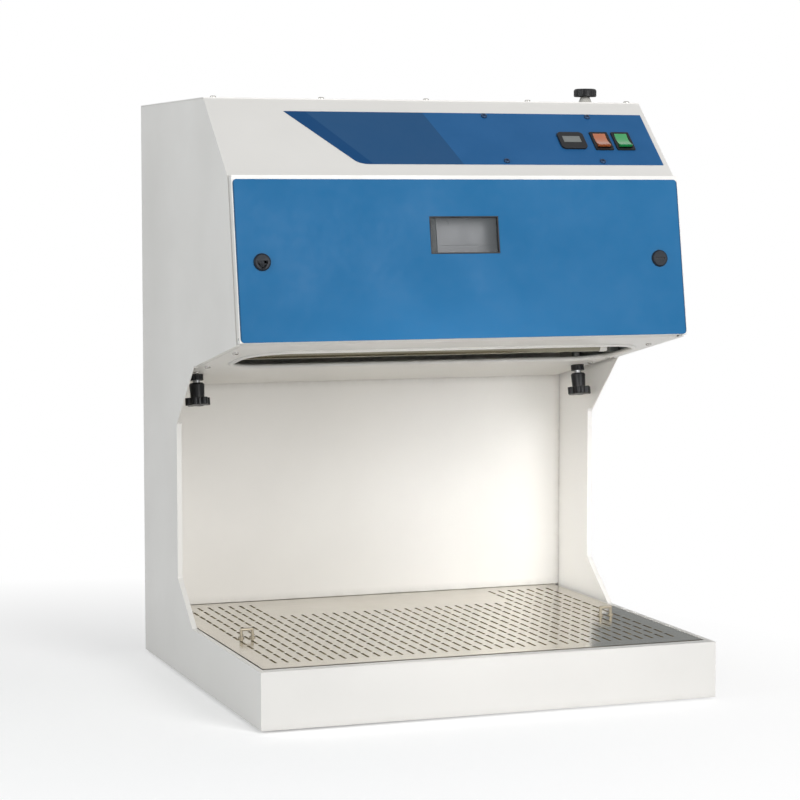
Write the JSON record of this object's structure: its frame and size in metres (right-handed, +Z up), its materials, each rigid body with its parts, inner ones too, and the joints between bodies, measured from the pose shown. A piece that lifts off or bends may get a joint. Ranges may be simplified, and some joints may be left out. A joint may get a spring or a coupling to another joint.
{
  "type": "downflow workstation",
  "caption": "Bench-top downflow workstation: C-shaped sheet metal cabinet with slotted steel work surface, filter head behind a drop-down door and control panel.",
  "frame": {"origin": "middle of the footprint box, on the plane that the rubber feet stand on", "axes": "+Z up, -Y towards the user, +X to the user's right"},
  "size_m": [0.61, 0.5784, 0.7923],
  "materials": {
    "white_coat": "fine white powder coat",
    "stainless": "bright brushed stainless steel",
    "zinc_steel": "zinc plated steel",
    "door_blue": "satin blue face sheet",
    "panel_blue": "satin darker blue overlay",
    "black_plastic": "fine textured black plastic",
    "green_rocker": "translucent green plastic",
    "orange_rocker": "translucent orange plastic",
    "grey_display": "grey plastic",
    "clear_pane": "clear acrylic",
    "lamp_glass": "white coated glass",
    "rubber": "black rubber",
    "filter_board": "board filter case",
    "filter_media": "pleated dark filter media"
  },
  "bodies": {
    "cabinet": {"left_side_panel": "white_coat", "right_side_panel": "white_coat", "rear_panel": "white_coat", "roof_panel": "white_coat", "base_pan": "white_coat", "feet": "rubber", "tray_rails": "white_coat", "pre_filter": "filter_media", "work_surface": "stainless", "tray_handles": "stainless", "inner_back_wall": "white_coat", "head_soffit": "white_coat", "lamp_tube": "lamp_glass", "lamp_holders": "white_coat", "control_panel": "white_coat", "control_overlay": "panel_blue", "switch_bodies": "black_plastic", "hour_counter": "black_plastic", "counter_display": "grey_display", "speed_control": "zinc_steel", "hinge_brackets": "zinc_steel", "filter_rails": "zinc_steel", "filter_frame": "filter_board", "filter_pleats": "filter_media", "filter_grip_plate": "grey_display", "filter_seal": "rubber", "plenum_plate": "zinc_steel", "blower_scroll": "zinc_steel", "blower_motor": "zinc_steel", "clamp_collars": "black_plastic", "power_inlet": "black_plastic", "roof_screws": "zinc_steel", "overlay_screws": "zinc_steel", "soffit_screws": "zinc_steel", "rear_screws": "zinc_steel"},
    "door": {"filter_door": "white_coat", "door_overlay": "door_blue", "window_frame": "black_plastic", "window_pane": "clear_pane"},
    "left_latch": {"latch_left": "black_plastic", "latch_cam_left": "zinc_steel"},
    "right_latch": {"latch_right": "black_plastic", "latch_cam_right": "zinc_steel"},
    "fan_switch": {"fan_rocker": "green_rocker"},
    "light_switch": {"light_rocker": "orange_rocker"},
    "roof_knob": {"speed_knob": "black_plastic"},
    "left_clamp": {"clamp_knob_left": "black_plastic", "clamp_stud_left": "zinc_steel"},
    "right_clamp": {"clamp_knob_right": "black_plastic", "clamp_stud_right": "zinc_steel"},
    "impeller": {"blower_wheel": "zinc_steel"}
  },
  "joints": [
    {"name": "door_hinge", "type": "hinge", "parent": "cabinet", "child": "door", "pos_m": [0, -0.19434, 0.47098], "axis": [1, 0, 0], "range_deg": [0, 95]},
    {"name": "left_latch_turn", "type": "hinge", "parent": "door", "child": "left_latch", "pos_m": [-0.27, -0.18417, 0.56512], "axis": [0, -0.9854, 0.1702], "range_deg": [0, 90]},
    {"name": "right_latch_turn", "type": "hinge", "parent": "door", "child": "right_latch", "pos_m": [0.27, -0.18417, 0.56512], "axis": [0, -0.9854, 0.1702], "range_deg": [-90, 0]},
    {"name": "fan_switch_tip", "type": "hinge", "parent": "cabinet", "child": "fan_switch", "pos_m": [0.254, -0.10249, 0.71692], "axis": [1, 0, 0], "range_deg": [0, 16]},
    {"name": "light_switch_tip", "type": "hinge", "parent": "cabinet", "child": "light_switch", "pos_m": [0.223, -0.10249, 0.71692], "axis": [1, 0, 0], "range_deg": [0, 16]},
    {"name": "roof_knob_turn", "type": "hinge", "parent": "cabinet", "child": "roof_knob", "pos_m": [0.25, 0.01075, 0.772], "axis": [0, 0, 1], "range_deg": [-270, 0]},
    {"name": "left_clamp_turn", "type": "hinge", "parent": "cabinet", "child": "left_clamp", "pos_m": [-0.279, 0.09103, 0.37796], "axis": [0, 0.1908, 0.9816], "range_deg": [-720, 0]},
    {"name": "right_clamp_turn", "type": "hinge", "parent": "cabinet", "child": "right_clamp", "pos_m": [0.279, 0.09103, 0.37796], "axis": [0, 0.1908, 0.9816], "range_deg": [-720, 0]},
    {"name": "impeller_spin", "type": "hinge", "parent": "cabinet", "child": "impeller", "pos_m": [0, 0.09814, 0.63126], "axis": [0, 0.1908, 0.9816], "continuous": true}
  ]
}
